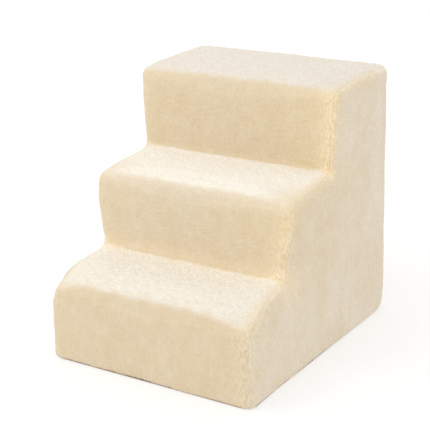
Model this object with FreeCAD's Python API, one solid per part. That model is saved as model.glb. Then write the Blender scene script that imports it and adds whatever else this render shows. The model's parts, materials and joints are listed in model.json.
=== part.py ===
import FreeCAD, Part
import os

# Three-step pet stairs: a foam core in a liner, inside a plush cover that closes with a zip
# along the foot of its back. Millimetres. X runs across the treads, the flight climbs towards
# +Y and Z is up. The origin is the middle of the footprint, on the surface it stands on.

# Overall size of the covered stairs
width = 400.0
depth = 490.0
height = 457.0

# Lower treads, measured to the surface of the pile
first_tread_height = 164.0
second_tread_height = 306.0
second_riser_setback = 140.0
third_riser_setback = 286.0

# Roundings of the covered form
plan_corner_radius = 22.0
side_edge_radius = 20.0
first_nosing_radius = 36.0
upper_nosing_radius = 22.0
back_edge_radius = 20.0

# Layers, from the outside in
cover_thickness = 8.0
base_thickness = 2.0
liner_thickness = 0.6
layer_gap = 0.3
pad_thickness = 22.0

# Zip in the back wall
zip_height = 40.0
zip_side_margin = 40.0
zip_end_margin = 16.0
zip_channel_height = 16.0
running_gap = 0.3

tape_thickness = 0.6
tape_seam_depth = 8.0
coil_slit = 1.4
coil_width = 2.6
coil_thickness = 2.0
stop_length = 3.0

slider_length = 11.0
slider_width = 9.4
slider_plate = 1.2
slider_wall = 1.0
slider_post_length = 3.0
slider_end_gap = 1.0
slider_corner_radius = 2.0

bail_length = 6.0
bail_width = 1.4
bail_wall = 0.7
pull_bar_radius = 0.5
pull_bar_clearance = 0.08
pull_length = 24.0
pull_width = 6.0
pull_thickness = 1.0
pull_arm_width = 1.1
pull_hole_radius = 1.4

# Places worked out from the sizes
front = -depth / 2
back = depth / 2
side = width / 2
riser_fronts = [front, front + second_riser_setback, front + third_riser_setback]
tread_heights = [first_tread_height, second_tread_height, height]
nosing_radii = [first_nosing_radius, upper_nosing_radius, upper_nosing_radius]
liner_inset = cover_thickness + layer_gap
foam_inset = liner_inset + liner_thickness + layer_gap
liner_floor = base_thickness + layer_gap
foam_floor = liner_floor + liner_thickness + layer_gap
least_radius = 0.5
far = 2 * (width + depth + height)


def save(name, shape):
    os.makedirs("parts", exist_ok=True)
    shape.exportStep("parts/" + name + ".step")
    print(name, len(shape.Solids), "solid(s)", round(shape.Volume / 1000, 2), "cm3")


def box(x_low, x_high, y_low, y_high, z_low, z_high):
    corner = FreeCAD.Vector(x_low, y_low, z_low)
    return Part.makeBox(x_high - x_low, y_high - y_low, z_high - z_low, corner)


def joined(first, *others):
    return first.multiFuse(list(others)).removeSplitter()


# A rectangle from low to high in two directions, with one radius for each corner in turn,
# drawn on the plane that place() gives and swept by the vector sweep.
def rounded_prism(low, high, radii, place, sweep):
    corners = [(low[0], low[1]), (high[0], low[1]), (high[0], high[1]), (low[0], high[1])]
    arriving = [(0, 1), (-1, 0), (0, -1), (1, 0)]
    leaving = [(1, 0), (0, 1), (-1, 0), (0, -1)]

    def beside(index, along, distance):
        return place(corners[index][0] + along[0] * distance,
                     corners[index][1] + along[1] * distance)

    edges = []
    for index, radius in enumerate(radii):
        following = (index + 1) % 4
        if radius > 0:
            diagonal = (arriving[index][0] + leaving[index][0],
                        arriving[index][1] + leaving[index][1])
            arc = Part.Arc(beside(index, arriving[index], radius),
                           beside(index, diagonal, radius * (1 - 0.5 ** 0.5)),
                           beside(index, leaving[index], radius))
            edges.append(arc.toShape())
        edges.append(Part.makeLine(beside(index, leaving[index], radius),
                                   beside(following, arriving[following], radii[following])))
    return Part.Face(Part.Wire(edges)).extrude(sweep)


def plan_prism(x_low, x_high, y_low, y_high, radius, z_low, z_high):
    return rounded_prism((x_low, y_low), (x_high, y_high), [radius] * 4,
                         lambda x, y: FreeCAD.Vector(x, y, z_low),
                         FreeCAD.Vector(0, 0, z_high - z_low))


def wall_prism(x_low, x_high, z_low, z_high, radius, y_low, y_high):
    return rounded_prism((x_low, z_low), (x_high, z_high), [radius] * 4,
                         lambda x, z: FreeCAD.Vector(x, y_low, z),
                         FreeCAD.Vector(0, y_high - y_low, 0))


# One block under one tread, its outside moved in by inset. Its three outlines, seen from
# the side, from above and from the front, are crossed to give every edge its rounding.
def step_block(step, inset, floor):
    y_low = riser_fronts[step] + inset
    y_high = back - inset
    top = tread_heights[step] - inset
    edge = side - inset
    nosing = max(nosing_radii[step] - inset, least_radius)
    rear = max(back_edge_radius - inset, least_radius)
    side_round = max(side_edge_radius - inset, least_radius)
    plan_round = max(plan_corner_radius - inset, least_radius)
    from_side = rounded_prism((y_low, floor), (y_high, top), [0, 0, rear, nosing],
                              lambda y, z: FreeCAD.Vector(-edge, y, z),
                              FreeCAD.Vector(2 * edge, 0, 0))
    from_front = rounded_prism((-edge, floor), (edge, top), [0, 0, side_round, side_round],
                               lambda x, z: FreeCAD.Vector(x, y_low, z),
                               FreeCAD.Vector(0, y_high - y_low, 0))
    from_above = plan_prism(-edge, edge, y_low, y_high, plan_round, floor, top)
    return from_side.common(from_front).common(from_above)


def stepped_form(inset, floor):
    blocks = [step_block(step, inset, floor) for step in range(3)]
    return joined(*blocks)


# The zip's own levels, counted outwards from the liner through the thickness of the cover
zip_wall = back - cover_thickness
slider_back_low = zip_wall + running_gap
slider_back_high = slider_back_low + slider_plate
tape_low = slider_back_high + running_gap
tape_high = tape_low + tape_thickness
coil_high = tape_high + coil_thickness
slider_front_low = coil_high + running_gap
slider_front_high = slider_front_low + slider_plate
chain_half = side - zip_side_margin
channel_half_length = chain_half + stop_length + zip_end_margin
channel_half_height = zip_channel_height / 2
coil_inner = coil_slit / 2
coil_outer = coil_inner + coil_width
pull_axis_y = slider_front_high + running_gap + pull_thickness / 2
slider_x = -(chain_half - slider_end_gap - slider_length / 2)
slider_travel = 2 * abs(slider_x)


def tape(direction):
    inner = zip_height + direction * coil_inner
    outer = zip_height + direction * (channel_half_height + tape_seam_depth)
    return box(-channel_half_length, channel_half_length, tape_low, tape_high,
               min(inner, outer), max(inner, outer))


def coil(direction):
    inner = zip_height + direction * coil_inner
    outer = zip_height + direction * coil_outer
    return box(-chain_half, chain_half, tape_high, coil_high,
               min(inner, outer), max(inner, outer))


def stop(direction):
    inner = direction * chain_half
    outer = direction * (chain_half + stop_length)
    return box(min(inner, outer), max(inner, outer), tape_high, coil_high,
               zip_height - coil_outer, zip_height + coil_outer)


def back_panels(wall):
    channel = box(-channel_half_length, channel_half_length, zip_wall, back,
                  zip_height - channel_half_height, zip_height + channel_half_height)
    open_wall = wall.cut(channel).cut(tape(1)).cut(tape(-1))
    upper = open_wall.common(box(-far, far, -far, far, zip_height, far))
    lower = open_wall.common(box(-far, far, -far, far, -far, zip_height))
    return upper, lower


def cover():
    shell = stepped_form(0, base_thickness).cut(stepped_form(cover_thickness, base_thickness))
    inner_side = side - cover_thickness
    between = shell.common(box(-inner_side, inner_side, -far, far, -far, far))
    cuts = [-far, riser_fronts[1], riser_fronts[2], zip_wall]
    save("cover_side_left", shell.common(box(-far, -inner_side, -far, far, -far, far)))
    save("cover_side_right", shell.common(box(inner_side, far, -far, far, -far, far)))
    for step in range(3):
        span = box(-far, far, cuts[step], cuts[step + 1], -far, far)
        save("cover_step_" + str(step + 1), between.common(span))
    upper, lower = back_panels(between.common(box(-far, far, zip_wall, far, -far, far)))
    save("cover_back_upper", upper)
    save("cover_back_lower", lower)
    save("cover_base", plan_prism(-side, side, front, back, plan_corner_radius, 0,
                                  base_thickness))


def liner():
    inside = stepped_form(liner_inset + liner_thickness, liner_floor + liner_thickness)
    save("inner_liner", stepped_form(liner_inset, liner_floor).cut(inside))


# The core is three slabs glued one on the other, with a softer pad glued on each tread.
def foam_core():
    core = stepped_form(foam_inset, foam_floor)
    slab_names = ["foam_slab_bottom", "foam_slab_middle", "foam_slab_top"]
    faces = [y + foam_inset for y in riser_fronts] + [back]
    seats = [z - foam_inset - pad_thickness for z in tread_heights]
    floors = [foam_floor] + seats[:2]
    for step in range(3):
        slab = box(-far, far, faces[step], far, floors[step], seats[step])
        pad = box(-far, far, faces[step], faces[step + 1], seats[step], far)
        save(slab_names[step], core.common(slab))
        save("tread_pad_" + str(step + 1), core.common(pad))


def zip_chain():
    save("zip_tape_upper", tape(1))
    save("zip_tape_lower", tape(-1))
    save("zip_coil_upper", coil(1))
    save("zip_coil_lower", coil(-1))
    save("zip_stop_left", stop(-1))
    save("zip_stop_right", stop(1))


def is_outer_bail_corner(edge, high):
    along_z = abs(edge.BoundBox.ZLength - bail_width) < 1e-6
    return along_z and abs(edge.BoundBox.YMax - high) < 1e-6


def bail():
    low = slider_front_high
    high = pull_axis_y + pull_bar_radius + pull_bar_clearance + bail_wall
    hole_half = bail_length / 2 - bail_wall
    hole_low = pull_axis_y - pull_bar_radius - pull_bar_clearance
    hole_high = pull_axis_y + pull_bar_radius + pull_bar_clearance
    z_low = zip_height - bail_width / 2
    z_high = zip_height + bail_width / 2
    body = box(slider_x - bail_length / 2, slider_x + bail_length / 2, low, high, z_low, z_high)
    corners = [edge for edge in body.Edges if is_outer_bail_corner(edge, high)]
    arch = body.makeFillet(bail_wall, corners)
    return arch.cut(box(slider_x - hole_half, slider_x + hole_half, hole_low, hole_high,
                        z_low, z_high))


def zip_slider():
    half_length = slider_length / 2
    half_width = slider_width / 2
    x_low = slider_x - half_length
    x_high = slider_x + half_length
    z_low = zip_height - half_width
    z_high = zip_height + half_width
    front_plate = wall_prism(x_low, x_high, z_low, z_high, slider_corner_radius,
                             slider_front_low, slider_front_high)
    back_plate = wall_prism(x_low, x_high, z_low, z_high, slider_corner_radius,
                            slider_back_low, slider_back_high)
    post = box(slider_x - slider_post_length / 2, slider_x + slider_post_length / 2,
               slider_back_low, slider_front_high,
               zip_height - coil_inner + running_gap, zip_height + coil_inner - running_gap)
    lip_low = tape_high + running_gap
    lip_start = x_low + slider_corner_radius
    lip_end = x_high - slider_corner_radius
    lower_lip = box(lip_start, lip_end, lip_low, slider_front_low, z_low, z_low + slider_wall)
    upper_lip = box(lip_start, lip_end, lip_low, slider_front_low, z_high - slider_wall, z_high)
    save("zip_slider", joined(front_plate, back_plate, post, lower_lip, upper_lip, bail()))


# The pull lies along the chain, its cross bar held in the bail with its arms on either side.
def zip_pull():
    half_bar = pull_width / 2
    arm_inner = half_bar - pull_arm_width
    tab_start = slider_x + bail_length / 2 + running_gap
    tab_end = slider_x + pull_length
    y_low = pull_axis_y - pull_thickness / 2
    y_high = pull_axis_y + pull_thickness / 2
    bar = Part.makeCylinder(pull_bar_radius, pull_width,
                            FreeCAD.Vector(slider_x, pull_axis_y, zip_height - half_bar),
                            FreeCAD.Vector(0, 0, 1))
    tab = wall_prism(tab_start, tab_end, zip_height - half_bar, zip_height + half_bar,
                     pull_arm_width, y_low, y_high)
    tab_hole = Part.makeCylinder(pull_hole_radius, pull_thickness,
                                 FreeCAD.Vector(tab_end - 2 * pull_hole_radius, y_low,
                                                zip_height),
                                 FreeCAD.Vector(0, 1, 0))
    arm_end = tab_start + pull_arm_width
    upper_arm = box(slider_x, arm_end, y_low, y_high, zip_height + arm_inner,
                    zip_height + half_bar)
    lower_arm = box(slider_x, arm_end, y_low, y_high, zip_height - half_bar,
                    zip_height - arm_inner)
    save("zip_pull", joined(tab.cut(tab_hole), bar, upper_arm, lower_arm))


cover()
liner()
foam_core()
zip_chain()
zip_slider()
zip_pull()
print("slider at x", slider_x, "travel", slider_travel)
print("pull axis at x", slider_x, "y", pull_axis_y, "z", zip_height)
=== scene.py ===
import json
import math

import bmesh
import bpy
import numpy as np
from mathutils import Matrix, Vector

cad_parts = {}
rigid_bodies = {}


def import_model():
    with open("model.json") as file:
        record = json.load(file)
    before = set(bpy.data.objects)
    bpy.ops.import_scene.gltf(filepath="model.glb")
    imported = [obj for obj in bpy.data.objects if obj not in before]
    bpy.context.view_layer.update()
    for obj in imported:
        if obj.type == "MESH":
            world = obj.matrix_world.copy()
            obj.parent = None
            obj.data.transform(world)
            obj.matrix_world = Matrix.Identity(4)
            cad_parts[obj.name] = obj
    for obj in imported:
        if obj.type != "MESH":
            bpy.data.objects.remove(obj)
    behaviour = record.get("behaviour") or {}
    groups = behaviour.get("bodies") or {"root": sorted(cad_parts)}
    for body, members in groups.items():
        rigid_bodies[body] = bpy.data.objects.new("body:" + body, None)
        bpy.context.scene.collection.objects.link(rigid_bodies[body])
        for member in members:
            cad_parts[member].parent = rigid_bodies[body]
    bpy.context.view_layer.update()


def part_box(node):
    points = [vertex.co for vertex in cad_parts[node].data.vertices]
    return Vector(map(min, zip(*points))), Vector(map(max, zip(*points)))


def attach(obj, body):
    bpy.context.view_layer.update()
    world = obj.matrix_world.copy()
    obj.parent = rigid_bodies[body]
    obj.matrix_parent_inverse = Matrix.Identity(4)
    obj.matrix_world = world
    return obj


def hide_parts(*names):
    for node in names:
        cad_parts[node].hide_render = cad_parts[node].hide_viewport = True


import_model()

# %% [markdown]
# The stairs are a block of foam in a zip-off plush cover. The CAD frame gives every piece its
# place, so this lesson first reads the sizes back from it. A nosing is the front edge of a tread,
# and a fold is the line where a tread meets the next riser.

MM = 0.001
side_low, side_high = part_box("cover_side_right")
base_low, base_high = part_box("cover_base")
back_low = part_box("cover_back_upper")[0]
step_boxes = [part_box(f"cover_step_{number}") for number in (1, 2, 3)]

half_width, side_seam = side_high.x, side_low.x
back_face, base_top = base_high.y, base_high.z
back_seam, zip_line = back_low.y, back_low.z
riser_faces = [low.y for low, high in step_boxes]
tread_heights = [high.z for low, high in step_boxes]
nosings = list(zip(riser_faces, tread_heights))
folds = list(zip(riser_faces[1:], tread_heights))
print("treads at", [round(z / MM) for z in tread_heights], "mm")

# %% [markdown]
# The camera stands a little to the right of the flight and looks slightly down on it with a
# long lens, which keeps the steps nearly free of perspective. It is turned round the point it
# aims at: azimuth to the right, elevation above the floor, and a small roll.

# %% The camera
CAMERA_AIM = Vector((-11.0, -11.2, 218.5)) * MM
CAMERA_AZIMUTH = math.radians(32.87)
CAMERA_ELEVATION = math.radians(19.22)
CAMERA_ROLL = math.radians(-1.35)
CAMERA_DISTANCE = 2160 * MM
CAMERA_LENS = 104.2


def direction(azimuth, elevation):
    return Vector((math.sin(azimuth) * math.cos(elevation),
                   -math.cos(azimuth) * math.cos(elevation), math.sin(elevation)))


def stand_camera():
    data = bpy.data.cameras.new("camera")
    data.lens = CAMERA_LENS
    camera = bpy.data.objects.new("camera", data)
    bpy.context.scene.collection.objects.link(camera)
    away = direction(CAMERA_AZIMUTH, CAMERA_ELEVATION)
    camera.location = CAMERA_AIM + away * CAMERA_DISTANCE
    turn = away.to_track_quat("Z", "Y").to_matrix() @ Matrix.Rotation(CAMERA_ROLL, 3, "Z")
    camera.rotation_euler = turn.to_euler()
    bpy.context.scene.camera = camera
    print("camera at", [round(v, 3) for v in camera.location])


stand_camera()

# %% [markdown]
# Plush looks right only in soft light. A white room gives most of it, a wide softbox high on
# the left brings out the pile of the treads, and a weaker one in front warms the risers. The
# floor glows a little, like a lit studio table, so that only a faint shadow is left on it.

# %% Light and floor
ROOM_WHITE = (1.02, 1.01, 1.0, 1)
LIT_POINT = Vector((0, 0, 0.25))
FLOOR_SIZE = 24.0
FLOOR_GREY = (0.45, 0.45, 0.445, 1)
FLOOR_GLOW = 0.54


def white_room():
    world = bpy.data.worlds.new("white_room")
    world.use_nodes = True
    world.node_tree.nodes["Background"].inputs["Color"].default_value = ROOM_WHITE
    bpy.context.scene.world = world
    bpy.context.scene.view_settings.view_transform = "Standard"


def softbox(name, place, size, power, colour):
    data = bpy.data.lights.new(name, "AREA")
    data.shape = "RECTANGLE"
    data.size, data.size_y = size
    data.energy = power
    data.color = colour
    lamp = bpy.data.objects.new(name, data)
    lamp.location = place
    lamp.rotation_euler = (Vector(place) - LIT_POINT).to_track_quat("Z", "Y").to_euler()
    bpy.context.scene.collection.objects.link(lamp)


def to_object(bm, name):
    mesh = bpy.data.meshes.new(name)
    bm.to_mesh(mesh)
    bm.free()
    made = bpy.data.objects.new(name, mesh)
    bpy.context.scene.collection.objects.link(made)
    return made


def new_finish(name, **settings):
    finish = bpy.data.materials.new(name)
    finish.use_nodes = True
    shader = finish.node_tree.nodes["Principled BSDF"]
    for key, value in settings.items():
        shader.inputs[key.replace("_", " ")].default_value = value
    return finish


def floor():
    bm = bmesh.new()
    bmesh.ops.create_grid(bm, x_segments=1, y_segments=1, size=FLOOR_SIZE / 2)
    plane = to_object(bm, "floor")
    plane.data.materials.append(new_finish(
        "floor_white", Base_Color=FLOOR_GREY, Emission_Color=(1, 1, 1, 1),
        Emission_Strength=FLOOR_GLOW, Roughness=0.9, Specular_IOR_Level=0.1))


white_room()
softbox("high_softbox", (-1.3, -1.0, 2.6), (1.8, 1.4), 16, (1.0, 0.98, 0.95))
softbox("front_softbox", (0.5, -2.8, 1.1), (1.6, 1.2), 3, (1.0, 0.93, 0.82))
floor()

# %% [markdown]
# Under the cover the foam is a stair-shaped prism. Its outline is drawn once, seen from the
# side, extruded across the width, and its outer edges are bevelled, because foam wrapped in
# cloth has no sharp edge. The upright edges of the back are the roundest, the rim of the top is
# crisper, and the edge on the floor is nearly sharp.

# %% The stepped block
EDGE_ROUND = 22 * MM
BACK_ROUND = 27 * MM
TOP_ROUND = 13 * MM
FOOT_ROUND = 3 * MM
BEVEL_STEPS = 6
PARALLEL = 0.99
CONVEX = 0.5


def edges_along(bm, axis):
    return [e for e in bm.edges
            if abs((e.verts[0].co - e.verts[1].co).normalized()[axis]) > PARALLEL]


def outer_edges(bm, wanted):
    return [e for e in bm.edges if e.calc_face_angle_signed() > CONVEX
            and wanted(*zip(*(v.co for v in e.verts)))]


def round_edges(bm, edges, offset):
    bmesh.ops.bevel(bm, geom=edges, offset=offset, offset_type="OFFSET", affect="EDGES",
                    segments=BEVEL_STEPS, profile=0.5, material=-1, clamp_overlap=True)


def extrude(bm, faces, way):
    grown = bmesh.ops.extrude_face_region(bm, geom=faces)
    fresh = [v for v in grown["geom"] if isinstance(v, bmesh.types.BMVert)]
    bmesh.ops.translate(bm, verts=fresh, vec=way)
    bmesh.ops.recalc_face_normals(bm, faces=bm.faces)


def stepped_block(inset=0, foot=0):
    faces = [y + inset for y in riser_faces]
    tops = [z - inset for z in tread_heights]
    outline = [(faces[0], foot), (back_face - inset, foot), (back_face - inset, tops[2])]
    for step in (2, 1):
        outline += [(faces[step], tops[step]), (faces[step], tops[step - 1])]
    outline.append((faces[0], tops[0]))
    reach = half_width - inset
    bm = bmesh.new()
    profile = bm.faces.new([bm.verts.new((-reach, y, z)) for y, z in outline])
    extrude(bm, [profile], (2 * reach, 0, 0))
    behind = faces[2] + MM
    round_edges(bm, [e for e in edges_along(bm, 2) if e.verts[0].co.y > behind], BACK_ROUND)
    for wanted, offset in (
            (lambda xs, ys, zs: min(zs) > tops[2] - MM and max(ys) > behind, TOP_ROUND),
            (lambda xs, ys, zs: max(zs) > foot, EDGE_ROUND),
            (lambda xs, ys, zs: max(zs) < foot + MM, FOOT_ROUND)):
        round_edges(bm, outer_edges(bm, wanted), offset)
    return bm


block = stepped_block()
print("stepped block", len(block.faces), "faces")

# %% [markdown]
# Cloth drawn over foam has to be shaped all over, so the few large faces are remade as an even
# net of small squares with a voxel remesh, and then relaxed.

# %% An even net over the block
NET = 5 * MM
RELAX_ROUNDS = 2


def evaluated_bmesh(obj):
    graph = bpy.context.evaluated_depsgraph_get()
    bm = bmesh.new()
    bm.from_mesh(obj.evaluated_get(graph).to_mesh())
    return bm


def relax(bm, verts, rounds):
    for _ in range(rounds):
        bmesh.ops.smooth_vert(bm, verts=verts, factor=0.5, use_axis_x=True, use_axis_y=True,
                              use_axis_z=True)


def even_net(bm, spacing=NET):
    rough = to_object(bm, "rough_form")
    remesh = rough.modifiers.new("net", "REMESH")
    remesh.mode = "VOXEL"
    remesh.voxel_size = spacing
    remesh.adaptivity = 0
    net = evaluated_bmesh(rough)
    bpy.data.objects.remove(rough)
    relax(net, net.verts, RELAX_ROUNDS)
    return net


form = even_net(block)
print("net", len(form.verts), "points")

# %% [markdown]
# Feet have broken down the edges that are stepped on, the first one most. Relaxing only the
# points near a nosing rounds it over its whole width, and its two corners even more. The folds
# are eased in the same way, as plush can't lie in a sharp one.

# %% Softer nosings and folds
NOSING_ROUNDS = [26, 12, 6]
NOSING_AREA = 42 * MM
FOLD_ROUNDS = 10
FOLD_AREA = 24 * MM


def soften_line(bm, y, z, area, rounds):
    near = [v for v in bm.verts if math.hypot(v.co.y - y, v.co.z - z) < area]
    relax(bm, near, rounds)


def soften_steps(bm):
    for line, rounds in zip(nosings, NOSING_ROUNDS):
        soften_line(bm, *line, NOSING_AREA, rounds)
    for line in folds:
        soften_line(bm, *line, FOLD_AREA, FOLD_ROUNDS)


soften_steps(form)
print("nosings relaxed", NOSING_ROUNDS, "times, folds", FOLD_ROUNDS)

# %% [markdown]
# Most of the shaping below works on all points of a mesh at once, as rows of one array. These
# helpers read such an array, write it back, and give the soft ramps that shape cloth.

# %% Points as arrays
FOLD_SEAM_REACH = 60 * MM


def smooth_step(value):
    t = np.clip(value, 0, 1)
    return t * t * (3 - 2 * t)


def bell(distance, reach):
    return np.exp(-(distance / reach) ** 2)


def points_of(bm):
    return np.array([v.co[:] for v in bm.verts])


def place_points(bm, places):
    for vert, place in zip(bm.verts, places):
        vert.co = place
    bm.normal_update()


def reshape(bm, shape):
    places = points_of(bm)
    shape(places)
    place_points(bm, places)


def read_vectors(source, name):
    values = np.zeros(len(source) * 3)
    source.foreach_get(name, values)
    return values.reshape(-1, 3)


def side_seam_gap(p):
    return np.abs(np.abs(p[:, 0]) - side_seam)


def seam_gap(p):
    gaps = [side_seam_gap(p), np.abs(p[:, 1] - back_seam)]
    for y, z in folds:
        dy, dz = p[:, 1] - y, p[:, 2] - z
        near = (np.hypot(dy, dz) < FOLD_SEAM_REACH) & (np.abs(p[:, 0]) < side_seam)
        gaps.append(np.where(near, np.abs(dy + dz) / math.sqrt(2), 1.0))
    return np.min(gaps, axis=0)


print("nearest seam to the points of the net", round(seam_gap(points_of(form)).min() / MM, 2), "mm")

# %% [markdown]
# A real cover is a little smaller than its foam, so it crowns between the seams and pulls small
# folds along them. A cloth simulation does that: the seams and the foot are pinned, air pressure
# stands in for the foam, and what moves too far is held back.

# %% Swelling between the seams
PRESSURE = 4.0
SHRINK = -0.004
SWELL_FRAMES = 20
SEAM_HOLD = 5 * MM
FOOT_HOLD = 8 * MM
FOAM_GIVE = 2.6 * MM


def swollen(bm):
    cloth_form = to_object(bm, "cloth_form")
    start = read_vectors(cloth_form.data.vertices, "co")
    held = np.clip(1 - seam_gap(start) / SEAM_HOLD, 0, 1)
    held = np.maximum(held, np.clip(1 - start[:, 2] / FOOT_HOLD, 0, 1))
    pins = cloth_form.vertex_groups.new(name="pins")
    for index in np.nonzero(held)[0]:
        pins.add([int(index)], float(held[index]), "REPLACE")
    cloth = cloth_form.modifiers.new("cloth", "CLOTH")
    cloth.settings.use_pressure = True
    cloth.settings.uniform_pressure_force = PRESSURE
    cloth.settings.vertex_group_mass = "pins"
    cloth.settings.effector_weights.gravity = 0
    cloth.settings.shrink_min = SHRINK
    for number in range(1, SWELL_FRAMES + 1):
        bpy.context.scene.frame_set(number)
    result = evaluated_bmesh(cloth_form)
    bpy.context.scene.frame_set(1)
    bpy.data.objects.remove(cloth_form)
    move = points_of(result) - start
    far = np.linalg.norm(move, axis=1)[:, None]
    place_points(result, start + move * FOAM_GIVE / (far + FOAM_GIVE))
    return result


form = swollen(form)
print("swollen to", [round(v / MM, 1) for v in np.ptp(points_of(form), axis=0)], "mm")

# %% [markdown]
# The cover is sewn from panels. Planes cut them from the one even net, so neighbours meet
# exactly at their seams: flat planes near each side and behind, and slanted planes through the
# folds. The bottom is left open for the base cloth. Each point first keeps its outward
# direction, so that two panels rise alike along their seam.

# %% Cutting the panels
def square_to(axis, at, way=1):
    point, across = Vector(), Vector()
    point[axis], across[axis] = at, way
    return point, across


def cut(bm, planes, dist=0.01 * MM, **how):
    for point, across in planes:
        everything = bm.verts[:] + bm.edges[:] + bm.faces[:]
        bmesh.ops.bisect_plane(bm, geom=everything, dist=dist, plane_co=point,
                               plane_no=across, **how)


def clipped(bm, planes):
    panel = bm.copy()
    cut(panel, planes, clear_outer=True)
    return panel


def step_planes(step):
    planes = between_sides + [square_to(1, back_seam)]
    if step < 2:
        planes.append(((0, *folds[step]), (0, 1, 1)))
    if step > 0:
        planes.append(((0, *folds[step - 1]), (0, -1, -1)))
    return planes


between_sides = [square_to(0, side_seam), square_to(0, -side_seam, -1)]
back_planes = between_sides + [square_to(1, back_seam, -1)]
panel_planes = {
    "plush_side_right": [square_to(0, side_seam, -1)],
    "plush_side_left": [square_to(0, -side_seam)],
    "plush_back_upper": back_planes + [square_to(2, zip_line, -1)],
    "plush_back_lower": back_planes + [square_to(2, zip_line)],
}
panel_planes |= {f"plush_step_{step + 1}": step_planes(step) for step in range(3)}
form.normal_update()
outward = form.verts.layers.float_vector.new("outward")
for vert in form.verts:
    vert[outward] = vert.normal
panels = {name: clipped(form, planes + [square_to(2, base_top, -1)])
          for name, planes in panel_planes.items()}
form.free()
print("panels", {name: len(bm.faces) for name, bm in panels.items()})

# %% [markdown]
# The zip lies in a slot between the two back panels. Its four sides are cut into the net first,
# and the faces inside it are then taken out. The plush closes in on both ends of the slot, as
# far as the pull leaves room for it.

# %% The slot for the zip
tape_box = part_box("zip_tape_upper")
coil_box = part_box("zip_coil_upper")
SLOT_HALF_LENGTH = tape_box[1].x
SLOT_HALF_HEIGHT = 8 * MM
SLOT_END = 15 * MM
SLOT_CLOSING = 0.68
SLOT_FADE = 18 * MM


def close_slot_ends(bm):
    for vert in bm.verts:
        away = abs(vert.co.z - zip_line)
        near_end = max(0, 1 - abs(SLOT_HALF_LENGTH - abs(vert.co.x)) / SLOT_END)
        closing = 1 - math.sqrt(1 - SLOT_CLOSING * near_end ** 2)
        fade = min(away / SLOT_HALF_HEIGHT, max(0, 1 - (away - SLOT_HALF_HEIGHT) / SLOT_FADE))
        moved = away - SLOT_HALF_HEIGHT * closing * fade
        vert.co.z = zip_line + math.copysign(moved, vert.co.z - zip_line)


def open_slot(bm):
    low, high = zip_line - SLOT_HALF_HEIGHT, zip_line + SLOT_HALF_HEIGHT
    cut(bm, [square_to(0, SLOT_HALF_LENGTH), square_to(0, -SLOT_HALF_LENGTH),
             square_to(2, low), square_to(2, high)])
    inside = [f for f in bm.faces if abs(f.calc_center_median().x) < SLOT_HALF_LENGTH
              and low < f.calc_center_median().z < high]
    bmesh.ops.delete(bm, geom=inside, context="FACES")
    close_slot_ends(bm)


for name in ("plush_back_upper", "plush_back_lower"):
    open_slot(panels[name])
print("zip slot", round(2 * SLOT_HALF_LENGTH / MM), "mm long")

# %% [markdown]
# Now the sculpting. The soft pad under the first tread lets its nosing droop and its fold sink,
# the seams draw the sides in at each fold (less on the left, where they are sewn slacker), each
# tread is crowned and its front corners sink. Behind, the corners at the floor are tucked
# under, those at the top stand out with a slight sag between them, and the foam bulges a little
# above the floor. A row of BACK_SHAPES gives a place, how far it moves there in mm, and how far
# that reaches across and up. Each point first keeps how far it is from its seams, because the
# pile parts there.

# %% Sculpting the soft form
NOSING_DROOP = 12 * MM
NOSING_REACH = 80 * MM
CROWN = [7 * MM, 6 * MM, 1.5 * MM]
CROWN_REACH = 55 * MM
CROWN_DEPTH = 70 * MM
CROWN_FADE = 45 * MM
CORNER_SINK = [19 * MM, 7 * MM, 4 * MM]
CORNER_REACH = 58 * MM
SINK_WAY = (0.05, 0.25, 0.97)
PULL_IN = [20 * MM, 8 * MM]
PULL_REACH = [72 * MM, 90 * MM]
PULL_MARGIN = 130 * MM
PULL_DEPTH = 36 * MM
LEFT_SHARE = 0.5
FOLD_SINK = [3.5 * MM, -1 * MM]
FOLD_REACH = 30 * MM
BACK_SHAPES = [(back_face, 0, (-5.5, -5.5, 2.0), 32, 14), (back_face, 95, (2.0, 1.6, 0), 80, 80),
               (back_face, 457, (0.8, 0.8, 1.2), 24, 24), (back_face, 457, (0, 0, -2.1), 200, 60),
               (0, 0, (-1.8, 0, 0), 120, 120), (-155 * MM, 0, (-2.6, 0, 0), 70, 70)]


def droop_first_nosing(p):
    near_front = np.clip((riser_faces[0] + NOSING_REACH - p[:, 1]) / NOSING_REACH, 0, 1) ** 2
    near_top = smooth_step(p[:, 2] / tread_heights[0] * 1.6 - 0.6)
    p[:, 2] -= NOSING_DROOP * near_front * near_top


def crown_treads(p):
    edge = np.clip((np.abs(p[:, 0]) - half_width) / CROWN_REACH + 1, 0, 1) ** 2
    for back, height, crown in zip(riser_faces[1:] + [1.0], tread_heights, CROWN):
        fade = smooth_step((back - p[:, 1]) / CROWN_FADE)
        near_top = smooth_step((p[:, 2] - height) / CROWN_DEPTH + 1)
        p[:, 2] -= crown * edge * fade * near_top


def sink_tread_corners(p):
    for (y, z), sink in zip(nosings, CORNER_SINK):
        for side in (-1, 1):
            corner = np.array((side * half_width, y, z))
            amount = sink * bell(np.linalg.norm(p - corner, axis=1), CORNER_REACH)
            p -= amount[:, None] * np.array((side, -1, 1)) * SINK_WAY


def draw_in_corners(p):
    edge = smooth_step((np.abs(p[:, 0]) - half_width + PULL_MARGIN) / PULL_MARGIN)
    for (y, z), pull, reach, sink in zip(folds, PULL_IN, PULL_REACH, FOLD_SINK):
        dy, dz = p[:, 1] - y, p[:, 2] - z
        depth = np.hypot(np.maximum(dy, 0), np.maximum(-dz, 0))
        amount = pull * bell(np.hypot(dy, dz), reach) * bell(depth, PULL_DEPTH) * edge ** 2
        p[:, 0] -= np.where(p[:, 0] < 0, -LEFT_SHARE, 1) * amount
        p[:, 2] -= sink * bell(np.hypot(dy, dz), FOLD_REACH) * (1 - edge ** 2)


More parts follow.
